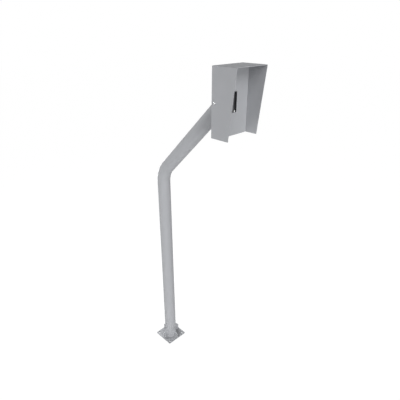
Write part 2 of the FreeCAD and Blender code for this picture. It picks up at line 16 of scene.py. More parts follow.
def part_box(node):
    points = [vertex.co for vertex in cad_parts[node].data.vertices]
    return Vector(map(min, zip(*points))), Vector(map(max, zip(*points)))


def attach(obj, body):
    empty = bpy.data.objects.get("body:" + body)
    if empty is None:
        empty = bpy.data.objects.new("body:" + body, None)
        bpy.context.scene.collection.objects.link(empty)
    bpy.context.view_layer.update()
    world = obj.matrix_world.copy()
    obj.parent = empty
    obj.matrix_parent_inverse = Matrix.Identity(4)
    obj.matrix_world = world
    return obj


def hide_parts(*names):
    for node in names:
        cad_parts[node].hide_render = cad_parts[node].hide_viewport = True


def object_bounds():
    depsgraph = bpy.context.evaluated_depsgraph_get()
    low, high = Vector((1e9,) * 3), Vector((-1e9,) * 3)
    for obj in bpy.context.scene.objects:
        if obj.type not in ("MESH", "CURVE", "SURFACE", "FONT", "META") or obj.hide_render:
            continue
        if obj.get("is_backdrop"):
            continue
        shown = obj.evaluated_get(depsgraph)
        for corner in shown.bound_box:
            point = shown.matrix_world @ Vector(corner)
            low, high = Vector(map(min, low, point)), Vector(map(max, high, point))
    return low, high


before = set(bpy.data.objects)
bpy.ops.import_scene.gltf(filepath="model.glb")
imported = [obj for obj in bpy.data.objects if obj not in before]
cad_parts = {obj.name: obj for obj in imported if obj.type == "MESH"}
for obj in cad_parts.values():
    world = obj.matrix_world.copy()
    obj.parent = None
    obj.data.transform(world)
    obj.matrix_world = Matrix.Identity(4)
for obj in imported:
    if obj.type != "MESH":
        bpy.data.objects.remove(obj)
cad_low, cad_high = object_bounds()
print("CAD box", [round(number, 4) for number in (*cad_low, *cad_high)])

# %% [markdown]
# ## Working by hand, in code
# Every piece below starts as a primitive and is shaped in edit mode, as it would be with a mouse.
# A mouse picks what it points at, so the code picks by place: a vertex, edge or face is selected
# when all its corners pass a test. Only one object is ever selected, because an operator acts on
# everything that is.

# %% Pick one piece, and parts of it
MM = 0.001
NEAR = 0.01 * MM


def alone(piece):
    """Leave edit mode and select this piece and nothing else."""
    if bpy.context.mode != "OBJECT":
        bpy.ops.object.mode_set(mode="OBJECT")
    bpy.ops.object.select_all(action="DESELECT")
    piece.select_set(True)
    bpy.context.view_layer.objects.active = piece


def begin(name):
    """Name the primitive that was just added, bake its place into its mesh and open it."""
    piece = bpy.context.object
    piece.name = piece.data.name = name
    alone(piece)
    bpy.ops.object.transform_apply()
    bpy.ops.object.mode_set(mode="EDIT")
    bpy.ops.mesh.select_all(action="SELECT")
    return piece


def pick(kind, test):
    """Select the vertices, edges or faces whose corners all pass the test."""
    bpy.ops.mesh.select_mode(type=kind)
    bpy.ops.mesh.select_all(action="DESELECT")
    mesh = bmesh.from_edit_mesh(bpy.context.object.data)
    for part in {"VERT": mesh.verts, "EDGE": mesh.edges, "FACE": mesh.faces}[kind]:
        corners = [part] if kind == "VERT" else part.verts
        part.select = all(test(corner.co) for corner in corners)
    mesh.select_flush_mode()
    bmesh.update_edit_mesh(bpy.context.object.data)


def pick_along(direction):
    """Select the edges that run in this direction."""
    pick("EDGE", lambda co: False)
    mesh = bmesh.from_edit_mesh(bpy.context.object.data)
    for edge in mesh.edges:
        run = edge.verts[1].co - edge.verts[0].co
        edge.select = run.cross(Vector(direction)).length < NEAR
    mesh.select_flush_mode()
    bmesh.update_edit_mesh(bpy.context.object.data)


def same(number, place):
    """Whether a coordinate is at a place."""
    return abs(number - place) < NEAR


def pull(x=0.0, y=0.0, z=0.0):
    """Extrude what is selected and move it."""
    bpy.ops.mesh.extrude_region_move(TRANSFORM_OT_translate={"value": (x, y, z)})


# %% [markdown]
# A thickness, a hole and a rounded edge come from modifiers, each applied at once, so that the next
# step works on real faces. The powder pulls back from a sharp edge as it melts and leaves it
# rounded by a few tenths of a millimetre, a little less on the plates inside the hood. That thin
# bright line is what makes sheet metal look like sheet metal. Weighted normals keep the broad faces
# flat beside those narrow ones.

# %% Modify, cut, soften and copy
OUTER_EDGE = 0.5 * MM
INNER_EDGE = 0.4 * MM
EDGE_STEPS = 3
SHARP = math.radians(40)
ROUND_SIDES = 64
ALONG = {"x": (0, math.radians(90), 0), "y": (math.radians(90), 0, 0), "z": (0, 0, 0)}


def modify(piece, kind, **settings):
    """Add one modifier, set it and apply it."""
    alone(piece)
    modifier = piece.modifiers.new(kind, kind)
    for name, setting in settings.items():
        setattr(modifier, name, setting)
    bpy.ops.object.modifier_apply(modifier=modifier.name)


def cut(piece, cutter):
    """Take the cutter's volume out of the piece, then put the cutter away."""
    modify(piece, "BOOLEAN", operation="DIFFERENCE", solver="EXACT", object=cutter)
    bpy.data.objects.remove(cutter)


def drill(piece, centre, radius, length, along, sides=ROUND_SIDES):
    """Drill a round hole through the piece, along x, y or z."""
    alone(piece)
    bpy.ops.mesh.primitive_cylinder_add(vertices=sides, radius=radius, depth=length,
                                        location=centre, rotation=ALONG[along])
    cut(piece, bpy.context.object)


def soften(piece, width):
    """Round the sharp edges by a width, shade smooth and keep flat faces flat."""
    modify(piece, "BEVEL", width=width, segments=EDGE_STEPS, limit_method="ANGLE",
           angle_limit=SHARP, use_clamp_overlap=True)
    bpy.ops.object.shade_smooth_by_angle(angle=SHARP)
    modify(piece, "WEIGHTED_NORMAL", keep_sharp=True)


def moved_copy(piece, name, move):
    """A copy with its own mesh, put elsewhere, with its new place in that mesh."""
    alone(piece)
    bpy.ops.object.duplicate()
    copy = bpy.context.object
    copy.name = copy.data.name = name
    copy.matrix_world = move
    bpy.ops.object.transform_apply()
    return copy


def join(pieces, name):
    """Make one piece of several and name it."""
    one = pieces[0]
    alone(one)
    for piece in pieces[1:]:
        piece.select_set(True)
    bpy.ops.object.join()
    one.name = one.data.name = name
    return one


def loose_edges(piece):
    """How many edges don't have a face on each side."""
    mesh = bmesh.new()
    mesh.from_mesh(piece.data)
    count = sum(not edge.is_manifold for edge in mesh.edges)
    mesh.free()
    return count


# %% [markdown]
# ## Finishes
# One small function adds a node, sets its sockets and joins its inputs, so each material reads from
# top to bottom. Colours are written as sRGB hex and turned to linear light once, and each pattern's
# scale comes from a real size in millimetres.

# %% Colours and nodes
def linear(hex_colour):
    """Linear RGBA of an sRGB hex colour."""
    parts = [int(hex_colour[start:start + 2], 16) / 255 for start in (1, 3, 5)]
    return [part / 12.92 if part <= 0.04045 else ((part + 0.055) / 1.055) ** 2.4
            for part in parts] + [1.0]


def node(tree, kind, links=(), **settings):
    """One node with its properties and socket values set and its inputs linked."""
    made = tree.nodes.new(kind)
    for name, setting in settings.items():
        setattr(made, name, setting)
    for socket, source in dict(links).items():
        if isinstance(source, bpy.types.NodeSocket):
            tree.links.new(source, made.inputs[socket])
        else:
            made.inputs[socket].default_value = source
    return made


def new_look(name):
    """An empty node material and the tree it is built in."""
    look = bpy.data.materials.new(name)
    look.use_nodes = True
    look.node_tree.nodes.clear()
    return look, look.node_tree


def per_mm(size):
    """Texture scale, in repeats per metre, of a pattern this many millimetres across."""
    return 1 / (size * MM)


# %% [markdown]
# ### Satin polyester powder coat
# Light grey powder is sprayed on dry and baked until it flows together. The layer is even and
# nearly matt, so the eye gets a calm grey with soft, broad highlights. It never flows quite flat:
# it keeps a fine orange peel, about 2 mm from crest to crest and a few hundredths of a millimetre
# deep. The film is also a little thicker in some places than in others, which shifts its shade and
# its gloss by about one part in a hundred over a hand's width. The peel scatters most of what a
# smooth paint would mirror, so the specular level is 0.2 instead of the usual 0.5.

# %% Powder coat
PEEL = 2.0
CLOUD = 60.0
coat, tree = new_look("satin_polyester_powder_coat")
place = node(tree, "ShaderNodeTexCoord")
peel = node(tree, "ShaderNodeTexNoise", {
    "Vector": place.outputs["Object"], "Scale": per_mm(PEEL), "Detail": 2.0, "Roughness": 0.45})
cloud = node(tree, "ShaderNodeTexNoise", {
    "Vector": place.outputs["Object"], "Scale": per_mm(CLOUD), "Detail": 3.0, "Roughness": 0.5})
shade = node(tree, "ShaderNodeMix", {
    0: cloud.outputs[0], 6: linear("#a6a8ab"), 7: linear("#abacb0")}, data_type="RGBA")
gloss = node(tree, "ShaderNodeMapRange", {
    "Value": cloud.outputs[0], "From Min": 0.3, "From Max": 0.7, "To Min": 0.56, "To Max": 0.62})
skin = node(tree, "ShaderNodeBump", {
    "Height": peel.outputs[0], "Strength": 0.35, "Distance": 0.03 * MM})
shader = node(tree, "ShaderNodeBsdfPrincipled", {
    "Base Color": shade.outputs[2], "Roughness": gloss.outputs[0], "Normal": skin.outputs[0],
    "Specular IOR Level": 0.2})
node(tree, "ShaderNodeOutputMaterial", {"Surface": shader.outputs["BSDF"]})
print(coat.name, len(tree.nodes), "nodes")

# %% [markdown]
# ### Polished stainless steel
# Button-head screws are cold formed, tumbled bright and left bare. They mirror what is round them,
# a little blurred, with fine rings from the tumbling that break the mirror up. The rings are drawn
# 0.4 mm apart, wider than real ones, because finer ones would not show.

# %% Stainless steel
stainless, tree = new_look("tumbled_stainless_steel")
place = node(tree, "ShaderNodeTexCoord")
marks = node(tree, "ShaderNodeTexNoise", {
    "Vector": place.outputs["Object"], "Scale": per_mm(0.4), "Detail": 2.0})
blur = node(tree, "ShaderNodeMapRange", {
    "Value": marks.outputs[0], "From Min": 0.3, "From Max": 0.7, "To Min": 0.08, "To Max": 0.18})
dents = node(tree, "ShaderNodeBump", {
    "Height": marks.outputs[0], "Strength": 0.15, "Distance": 0.01 * MM})
shader = node(tree, "ShaderNodeBsdfPrincipled", {
    "Base Color": linear("#c1c2c2"), "Metallic": 1.0, "Roughness": blur.outputs[0],
    "Normal": dents.outputs[0]})
node(tree, "ShaderNodeOutputMaterial", {"Surface": shader.outputs["BSDF"]})
print(stainless.name, len(tree.nodes), "nodes")

# %% [markdown]
# ### Bright zinc plate
# The clinch nuts are pressed into the face plate after it is coated, so they keep their own
# plating. Zinc grows in small crystals, which give a bluish grey metal with a faint patchwork of
# brighter and duller grains, drawn 0.8 mm across so that they show in a close view.

# %% Zinc plate
zinc, tree = new_look("bright_zinc_plate")
place = node(tree, "ShaderNodeTexCoord")
grains = node(tree, "ShaderNodeTexVoronoi", {
    "Vector": place.outputs["Object"], "Scale": per_mm(0.8)})
tint = node(tree, "ShaderNodeMix", {
    0: grains.outputs["Distance"], 6: linear("#c2c6ca"), 7: linear("#a9aeb4")}, data_type="RGBA")
dull = node(tree, "ShaderNodeMapRange", {
    "Value": grains.outputs["Distance"], "To Min": 0.28, "To Max": 0.45})
shader = node(tree, "ShaderNodeBsdfPrincipled", {
    "Base Color": tint.outputs[2], "Metallic": 1.0, "Roughness": dull.outputs[0]})
node(tree, "ShaderNodeOutputMaterial", {"Surface": shader.outputs["BSDF"]})
print(zinc.name, len(tree.nodes), "nodes")

# %% [markdown]
# The CAD solids get their looks as well. The nuts are fine enough as they are, so their solids are
# what is seen. Every other solid is replaced further down by a piece with the same coat.

# %% Looks of the solids
for cad_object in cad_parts.values():
    cad_object.data.materials.clear()
    cad_object.data.materials.append(coat)
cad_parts["clinch_nuts"].data.materials[0] = zinc

# %% [markdown]
# A finished piece gets its look, rides on the one rigid body, and stands for its CAD solids, which
# stay in the model for collision. Its size is printed, and so is the number of loose edges, which
# is 0 on a closed mesh.

# %% Hand a piece over
def hand_over(piece, look, slot, *nodes):
    """Give a finished piece its look and let it stand for its CAD nodes."""
    alone(piece)
    piece.data.materials.clear()
    piece.data.materials.append(look)
    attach(piece, "root")
    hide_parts(*nodes)
    low = [min(v.co[i] for v in piece.data.vertices) for i in range(3)]
    high = [max(v.co[i] for v in piece.data.vertices) for i in range(3)]
    print(piece.name, len(piece.data.polygons), "faces", loose_edges(piece), "loose edges",
          [round(number / MM, 2) for number in (*low, *high)])


# %% [markdown]
# ## Base plate
# A square of quarter-inch steel plate with an anchor hole in each corner and a round hole in the
# middle for the cable, as wide as the tube's bore. It is cut, drilled, and its edges are dressed
# before welding. It starts as a cube that is drawn out to the plate's length, width and thickness.

# %% Base plate
TUBE_RADIUS = 30.15 * MM
TUBE_WALL = 3.9 * MM
BORE_RADIUS = TUBE_RADIUS - TUBE_WALL
ANCHOR_OUT = 46.25 * MM
ANCHOR_RADIUS = 5.25 * MM
plate_low, plate_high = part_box("base_plate")
PLATE_TOP = plate_high.z
PLATE_CUTTER = 3 * PLATE_TOP

alone(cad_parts["base_plate"])
bpy.ops.mesh.primitive_cube_add(size=1, location=(plate_low + plate_high) / 2)
bpy.ops.transform.resize(value=plate_high - plate_low)
base = begin("coated_base_plate")
for side in (-1, 1):
    for end in (-1, 1):
        drill(base, (side * ANCHOR_OUT, end * ANCHOR_OUT, PLATE_TOP / 2), ANCHOR_RADIUS,
              PLATE_CUTTER, "z")
drill(base, (0, 0, PLATE_TOP / 2), BORE_RADIUS, PLATE_CUTTER, "z")
soften(base, OUTER_EDGE)
hand_over(base, coat, "powder_coat", "base_plate")

# %% [markdown]
# ## Post
# One length of tube, bent once over a former. A ring of vertices is drawn out as the upright, spun
# about the former's axis for the bend and drawn out again as the arm. The spin turns the other way
# from the one a mouse would give, so its angle is negative. The wall gets its thickness, and then
# the arm is cut off upright, in the plane of the back plate that it is welded to.

# %% Post
TUBE_SIDES = 96
BEND_RADIUS = 120 * MM
BEND_STEPS = 24
LEAN = math.radians(45)
CROSSING_Z = 1016.5 * MM
BEND_START = CROSSING_Z - BEND_RADIUS * math.tan(LEAN / 2)
PLATE_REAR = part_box("back_plate")[1].y
ARM_RUN = 600 * MM

alone(base)
bpy.ops.mesh.primitive_circle_add(vertices=TUBE_SIDES, radius=TUBE_RADIUS,
                                  location=(0, 0, PLATE_TOP))
post = begin("coated_post")
pull(z=BEND_START - PLATE_TOP)
bpy.ops.mesh.spin(steps=BEND_STEPS, angle=-LEAN, center=(0, -BEND_RADIUS, BEND_START),
                  axis=(1, 0, 0))
pull(y=-ARM_RUN * math.sin(LEAN), z=ARM_RUN * math.cos(LEAN))
bpy.ops.mesh.select_all(action="SELECT")
bpy.ops.mesh.remove_doubles(threshold=NEAR)
bpy.ops.mesh.normals_make_consistent(inside=False)
modify(post, "SOLIDIFY", thickness=TUBE_WALL, offset=-1, use_even_offset=True)
bpy.ops.object.mode_set(mode="EDIT")
bpy.ops.mesh.select_all(action="SELECT")
bpy.ops.mesh.bisect(plane_co=(0, PLATE_REAR, 0), plane_no=(0, -1, 0), clear_outer=True)
pick("EDGE", lambda co: same(co.y, PLATE_REAR))
bpy.ops.mesh.bridge_edge_loops()
alone(post)
bpy.ops.object.shade_smooth_by_angle(angle=SHARP)
hand_over(post, coat, "powder_coat", "post_tube")

# %% [markdown]
# ## Gussets
# Four plates brace the foot of the post. Each is sawn from flat bar: a sloping top corner, and a
# small corner off at the bottom so that it clears the ring weld. One is cut from a cube with two
# bisecting planes, and the other three are turned copies.

# %% Gussets
gusset_low, gusset_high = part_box("gusset_right")
EDGE_TOP = PLATE_TOP + 25 * MM
LAND = 3 * MM
SNIPE = 7 * MM
QUARTERS = {"right": 0, "rear": 90, "left": 180, "front": 270}

alone(post)
bpy.ops.mesh.primitive_cube_add(size=1, location=(gusset_low + gusset_high) / 2)
bpy.ops.transform.resize(value=gusset_high - gusset_low)
gusset = begin("coated_gusset_right")
run = gusset_high.x - gusset_low.x - LAND
rise = gusset_high.z - EDGE_TOP
bpy.ops.mesh.bisect(plane_co=(gusset_high.x, 0, EDGE_TOP), plane_no=(rise, 0, run),
                    use_fill=True, clear_outer=True)
bpy.ops.mesh.select_all(action="SELECT")
bpy.ops.mesh.bisect(plane_co=(gusset_low.x + SNIPE, 0, gusset_low.z), plane_no=(-1, 0, -1),
                    use_fill=True, clear_outer=True)
soften(gusset, OUTER_EDGE)
for side, degrees in QUARTERS.items():
    turn = Matrix.Rotation(math.radians(degrees), 4, "Z")
    piece = moved_copy(gusset, f"coated_gusset_{side}", turn) if degrees else gusset
    hand_over(piece, coat, "powder_coat", f"gusset_{side}")

# %% [markdown]
# ## Welds round the tube
# A weld bead is a slightly crowned fillet. The welder moves on in small steps, and each step leaves
# a ripple. The bead round the foot is a mound drawn up and in from a disc, with the tube taken out
# of it. It has 288 sides, so that every fourth column can be pressed in as a valley between two
# ripples, which still count as smooth. Each crown is a list of points in millimetres, how far out
# from the tube and how high above the plate. The bead round the arm is made in the same way from an
# ellipse, because the arm meets the plate on a slant, and its mound leans with the arm.

# %% Beads round the foot and the arm
RIPPLE_SIDES = 288
SIDES_A_RIPPLE = 4
VALLEY = 0.2 * MM
RIPPLE_SHARP = math.radians(50)
FOOT_CUTTER = 40 * MM
ARM_CUTTER = 200 * MM
FOOT_CROWN = [(5.0, 0.0), (4.1, 1.6), (2.9, 2.9), (1.6, 4.1), (0.1, 5.0)]
ARM_CROWN = [(5.0, 0.0), (4.6, 1.1), (3.7, 2.4), (2.3, 3.8), (0.5, 5.0)]


def in_valley(across, up):
    """Whether a point round a bead lies in a valley between two ripples."""
    side = round(math.atan2(up, across) / (2 * math.pi) * RIPPLE_SIDES)
    return side % SIDES_A_RIPPLE == 0


alone(post)
bpy.ops.mesh.primitive_circle_add(vertices=RIPPLE_SIDES, fill_type="NGON",
                                  radius=TUBE_RADIUS + FOOT_CROWN[0][0] * MM,
                                  location=(0, 0, PLATE_TOP))
foot_bead = begin("coated_foot_weld")
for (wide, low), (narrow, high) in zip(FOOT_CROWN, FOOT_CROWN[1:]):
    pull(z=(high - low) * MM)
    shrink = (TUBE_RADIUS + narrow * MM) / (TUBE_RADIUS + wide * MM)
    bpy.ops.transform.resize(value=(shrink, shrink, 1), center_override=(0, 0, 0))
bpy.ops.mesh.select_all(action="SELECT")
bpy.ops.mesh.normals_make_consistent(inside=False)
crown_low, crown_high = (PLATE_TOP + FOOT_CROWN[i][1] * MM for i in (1, 3))
pick("VERT", lambda co: crown_low - NEAR < co.z < crown_high + NEAR and in_valley(co.x, co.y))
bpy.ops.transform.shrink_fatten(value=-VALLEY)
drill(foot_bead, (0, 0, PLATE_TOP), TUBE_RADIUS, FOOT_CUTTER, "z", TUBE_SIDES)
bpy.ops.object.shade_smooth_by_angle(angle=RIPPLE_SHARP)
hand_over(foot_bead, coat, "powder_coat", "foot_weld")

ARM_END_Z = CROSSING_Z - PLATE_REAR
ARM_TALL = TUBE_RADIUS / math.sin(LEAN)
alone(foot_bead)
bpy.ops.mesh.primitive_circle_add(vertices=RIPPLE_SIDES, fill_type="NGON", radius=1,
                                  location=(0, PLATE_REAR, ARM_END_Z), rotation=ALONG["y"])
arm_bead = begin("coated_arm_weld")
leg = ARM_CROWN[0][0] * MM
bpy.ops.transform.resize(value=(TUBE_RADIUS + leg, 1, ARM_TALL + leg),
                         center_override=(0, PLATE_REAR, ARM_END_Z))
for (wide, near), (narrow, far) in zip(ARM_CROWN, ARM_CROWN[1:]):
    pull(y=(far - near) * MM, z=-(far - near) * MM)
    across = (TUBE_RADIUS + narrow * MM) / (TUBE_RADIUS + wide * MM)
    tall = (ARM_TALL + narrow * MM) / (ARM_TALL + wide * MM)
    bpy.ops.transform.resize(value=(across, 1, tall),
                             center_override=(0, PLATE_REAR, ARM_END_Z - far * MM))
bpy.ops.mesh.select_all(action="SELECT")
bpy.ops.mesh.normals_make_consistent(inside=False)


def in_arm_valley(co):
    """Whether a point of the arm's bead lies in a valley, not on the plate or the arm."""
    behind = co.y - PLATE_REAR
    middle = ARM_END_Z - behind
    crown = ARM_CROWN[1][1] * MM - NEAR < behind < ARM_CROWN[3][1] * MM + NEAR
    return crown and in_valley(co.x / TUBE_RADIUS, (co.z - middle) / ARM_TALL)


pick("VERT", in_arm_valley)
bpy.ops.transform.shrink_fatten(value=-VALLEY)
alone(arm_bead)
bpy.ops.mesh.primitive_cylinder_add(vertices=TUBE_SIDES, radius=TUBE_RADIUS, depth=ARM_CUTTER,
                                    location=(0, PLATE_REAR, ARM_END_Z), rotation=(LEAN, 0, 0))
cut(arm_bead, bpy.context.object)
bpy.ops.object.shade_smooth_by_angle(angle=RIPPLE_SHARP)
hand_over(arm_bead, coat, "powder_coat", "arm_weld")

# %% [markdown]
# ## Straight welds
# The straight beads share one recipe. A cylinder lies deep in the corner, so that only a shallow
# slice of it shows: two bisecting planes cut away what is inside the two plates. Its length is then
# divided, and every fourth ring of the crown is pressed in as a valley, by a share of the bead's
# leg. Both ends are drawn in, as the welder leaves them. A bead is modelled at the origin, along +X
# in the corner between +Y and +Z, and each copy is put in its own corner by three directions: along
# the bead, up one plate and up the other.

# %% One straight bead
RIPPLE_STEP = 2.6 * MM
VALLEY_SHARE = 0.04
END_SHARE = 0.7


def straight_bead(name, length, leg):
    """A rippled fillet along +X whose two legs lie on the planes y = 0 and z = 0."""
    bpy.ops.object.select_all(action="DESELECT")
    through_both_tips = math.hypot(2 * leg, leg)
    bpy.ops.mesh.primitive_cylinder_add(vertices=ROUND_SIDES, radius=through_both_tips,
                                        depth=length, location=(length / 2, -leg, -leg),
                                        rotation=ALONG["x"])
    bead = begin(name)
    for normal in ((0, -1, 0), (0, 0, -1)):
        bpy.ops.mesh.select_all(action="SELECT")
        bpy.ops.mesh.bisect(plane_co=(0, 0, 0), plane_no=normal, use_fill=True,
                            clear_outer=True)
    ripples = round(length / RIPPLE_STEP)
    pick_along((1, 0, 0))
    bpy.ops.mesh.subdivide(number_cuts=SIDES_A_RIPPLE * ripples - 1)
    step = length / ripples
    pick("VERT", lambda co: co.y > NEAR and co.z > NEAR and NEAR < co.x < length - NEAR
         and same(co.x / step * MM, round(co.x / step) * MM))
    bpy.ops.transform.shrink_fatten(value=-VALLEY_SHARE * leg)
    for end in (0, length):
        pick("VERT", lambda co: same(co.x, end))
        bpy.ops.transform.resize(value=(1, END_SHARE, END_SHARE), center_override=(end, 0, 0))
    alone(bead)
    bpy.ops.object.shade_smooth_by_angle(angle=RIPPLE_SHARP)
    return bead


def in_corner(bead, corner, along, up_one, up_other):
    """A copy of a bead laid in a corner, given by three directions."""
    turn = Matrix((along, up_one, up_other)).transposed().to_4x4()
    return moved_copy(bead, bead.name, Matrix.Translation(corner) @ turn)


def all_round(pieces, name):
    """The pieces and their copies at the other three gussets, as one piece."""
    one = join(pieces, name)
    copies = [moved_copy(one, name, Matrix.Rotation(math.radians(degrees), 4, "Z"))
              for degrees in (90, 180, 270)]
    return join([one, *copies], name)


X, Y, Z = Vector((1, 0, 0)), Vector((0, 1, 0)), Vector((0, 0, 1))

# %% [markdown]
# Each gusset is welded down both sides, on the base plate and up the tube. Those up the tube lie
# against a round surface, so the tube is taken out of them at the end.

# %% Gusset welds
GUSSET_HALF = gusset_high.y
GUSSET_BEAD = 4 * MM
POST_CUTTER = 80 * MM
weld_start = TUBE_RADIUS + SNIPE
bead = straight_bead("coated_gusset_foot_welds", gusset_high.x - weld_start, GUSSET_BEAD)
pair = [in_corner(bead, (weld_start, GUSSET_HALF, PLATE_TOP), X, Y, Z),
        in_corner(bead, (weld_start, -GUSSET_HALF, PLATE_TOP), X, Z, -Y)]
bpy.data.objects.remove(bead)
foot_beads = all_round(pair, "coated_gusset_foot_welds")
hand_over(foot_beads, coat, "powder_coat", "gusset_foot_welds")

post_weld_low, post_weld_high = (corner.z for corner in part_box("gusset_post_welds"))
on_tube = math.sqrt(TUBE_RADIUS ** 2 - (GUSSET_HALF + GUSSET_BEAD) ** 2)
bead = straight_bead("coated_gusset_post_welds", post_weld_high - post_weld_low, GUSSET_BEAD)
pair = [in_corner(bead, (on_tube, GUSSET_HALF, post_weld_low), Z, X, Y),
        in_corner(bead, (on_tube, -GUSSET_HALF, post_weld_low), Z, -Y, X)]
bpy.data.objects.remove(bead)
post_beads = all_round(pair, "coated_gusset_post_welds")
drill(post_beads, (0, 0, (post_weld_low + post_weld_high) / 2), TUBE_RADIUS, POST_CUTTER, "z",
      TUBE_SIDES)
hand_over(post_beads, coat, "powder_coat", "gusset_post_welds")

# %% [markdown]
# ## Hood
# One sheet folded twice, like an upturned tray with no ends, whose front edges slant back towards
# the bottom. A flat plane is its top, and two of its edges are drawn down into sides. The folds are
# bevelled to the bend radius while the sheet still has no thickness, which keeps the inner and
# outer radius concentric, as a press brake does. The slant is cut next, and then the sheet gets its
# thickness and its screw holes.

# %% Hood
hood_low, hood_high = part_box("hood_shell")
HOOD_SHEET = 2 * MM
HOOD_FOLD = 3 * MM
SLANT_BACK = 29 * MM
SCREW_FORWARD = 11.3 * MM
SCREW_RISE = 124 * MM
SCREW_HOLE = 2.75 * MM
SCREW_Y = hood_high.y - SCREW_FORWARD
SCREW_Z = hood_low.z + SCREW_RISE
HOOD_CUTTER = 2 * hood_high.x + 10 * MM
FOLD_STEPS = 8
FACING_UP = (0, 0, 0)
FACING_FRONT = (math.radians(90), 0, 0)
FACING_REAR = (math.radians(-90), 0, 0)


def sheet(name, low, high, facing):
    """A flat sheet between two corners, facing one way and open for editing."""
    bpy.ops.object.select_all(action="DESELECT")
    bpy.ops.mesh.primitive_plane_add(size=1, location=(Vector(low) + Vector(high)) / 2,
                                     rotation=facing)
    piece = begin(name)
    bpy.ops.transform.resize(value=[max(abs(b - a), MM) for a, b in zip(low, high)])
    return piece


def fold(test, radius):
    """Round the edge where a sheet is folded."""
    pick("EDGE", test)
    bpy.ops.mesh.bevel(offset=radius, segments=FOLD_STEPS, affect="EDGES")


hood = sheet("coated_hood", (hood_low.x, hood_low.y, hood_high.z), hood_high, FACING_UP)
for side in (hood_low.x, hood_high.x):
    pick("EDGE", lambda co: same(co.x, side) and same(co.z, hood_high.z))
    pull(z=hood_low.z - hood_high.z)
for side in (hood_low.x, hood_high.x):
    fold(lambda co: same(co.x, side) and same(co.z, hood_high.z), HOOD_FOLD)
slant_rise = hood_high.z - HOOD_FOLD - hood_low.z
bpy.ops.mesh.select_all(action="SELECT")
bpy.ops.mesh.bisect(plane_co=(0, hood_low.y + SLANT_BACK, hood_low.z),
                    plane_no=(0, -slant_rise, -SLANT_BACK), clear_outer=True)
modify(hood, "SOLIDIFY", thickness=HOOD_SHEET, offset=-1, use_even_offset=True)
drill(hood, (0, SCREW_Y, SCREW_Z), SCREW_HOLE, HOOD_CUTTER, "x")
soften(hood, OUTER_EDGE)
hand_over(hood, coat, "powder_coat", "hood_shell")

# %% [markdown]
# ## Back plate
# The arm is welded to this plate, and the plate is stitched between the hood's sides. Its bottom
# is folded forward into a lip, with a relief notch at each end of the fold so that the sheet
# doesn't tear. The notches are bisected out of a flat sheet before the lip is drawn forward. A
# cable hole and four holes for a wiring box follow.

# %% Back plate
back_low, back_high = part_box("back_plate")
BACK_SHEET = 3 * MM
BACK_FOLD = 4.5 * MM
LIP_HALF = 76.9 * MM
RELIEF = 1.5 * MM
LIP_CORNER = 3 * MM
TOP_CORNER = 1.3 * MM
NOTCH_TOP = back_low.z + BACK_FOLD + RELIEF
CUTOUT_RISE = 84 * MM
CUTOUT_TALL = 73 * MM
CUTOUT_MIDDLE = hood_low.z + CUTOUT_RISE + CUTOUT_TALL / 2
CABLE_HOLE = 15 * MM
BOX_HOLE = 4.25 * MM
BOX_OUT = 38 * MM
BOX_UP = 40.5 * MM
SHEET_CUTTER = 20 * MM
CORNER_STEPS = 6
TOP_CORNER_STEPS = 4

back = sheet("coated_back_plate", (back_low.x, back_high.y, back_low.z), back_high, FACING_REAR)
for point, normal in (((-LIP_HALF, 0, 0), X), ((LIP_HALF, 0, 0), X), ((0, 0, NOTCH_TOP), Z)):
    bpy.ops.mesh.select_all(action="SELECT")
    bpy.ops.mesh.bisect(plane_co=point, plane_no=normal)
for side in (-1, 1):
    pick("FACE", lambda co: side * co.x > LIP_HALF - NEAR and co.z < NOTCH_TOP + NEAR)
    bpy.ops.mesh.delete(type="FACE")
pick("EDGE", lambda co: same(co.z, back_low.z))
pull(y=back_low.y - back_high.y)
fold(lambda co: same(co.z, back_low.z) and same(co.y, back_high.y), BACK_FOLD)
pick("VERT", lambda co: same(co.z, back_low.z) and same(co.y, back_low.y))
bpy.ops.mesh.bevel(offset=LIP_CORNER, segments=CORNER_STEPS, affect="VERTICES")
pick("VERT", lambda co: same(co.z, back_high.z) and same(abs(co.x), back_high.x))
bpy.ops.mesh.bevel(offset=TOP_CORNER, segments=TOP_CORNER_STEPS, affect="VERTICES")
modify(back, "SOLIDIFY", thickness=BACK_SHEET, offset=-1, use_even_offset=True)
drill(back, (0, back_high.y, ARM_END_Z), CABLE_HOLE, SHEET_CUTTER, "y")
for side in (-1, 1):
    for row in (-1, 1):
        drill(back, (side * BOX_OUT, back_high.y, CUTOUT_MIDDLE + row * BOX_UP), BOX_HOLE,
              SHEET_CUTTER, "y")
soften(back, INNER_EDGE)
hand_over(back, coat, "powder_coat", "back_plate")

# %% [markdown]
# ## Hood welds
# Short stitches join the hood and the back plate from behind, where rain and hands don't reach:
# three down each side and two along the top. Stitches warp thin sheet less than a full bead does.

# %% Hood welds
HOOD_BEAD = 2.5 * MM
STITCH = 25 * MM
STITCH_MARGIN = 18 * MM
stitch = straight_bead("coated_hood_welds", STITCH, HOOD_BEAD)
last = back_high.z - hood_low.z - STITCH_MARGIN - STITCH
stitches = []
for height in (STITCH_MARGIN, (STITCH_MARGIN + last) / 2, last):
    start_z = hood_low.z + height
    stitches.append(in_corner(stitch, (back_high.x, back_high.y, start_z), Z, Y, -X))
    stitches.append(in_corner(stitch, (-back_high.x, back_high.y, start_z), Z, X, Y))
for start_x in (STITCH_MARGIN, -STITCH_MARGIN - STITCH):
    stitches.append(in_corner(stitch, (start_x, back_high.y, back_high.z), X, -Z, Y))
bpy.data.objects.remove(stitch)
hood_beads = join(stitches, "coated_hood_welds")
hand_over(hood_beads, coat, "powder_coat", "hood_welds")

# %% [markdown]
# ## Face plate
# The panel that a reader is fixed to: a sheet with its sides folded back, so that it drops in
# between the hood's sides, and one rectangular cut-out for the reader's cable and body. It is made
# as the hood was. The cutter is a cube whose four edges along Y are bevelled to the corner radius.

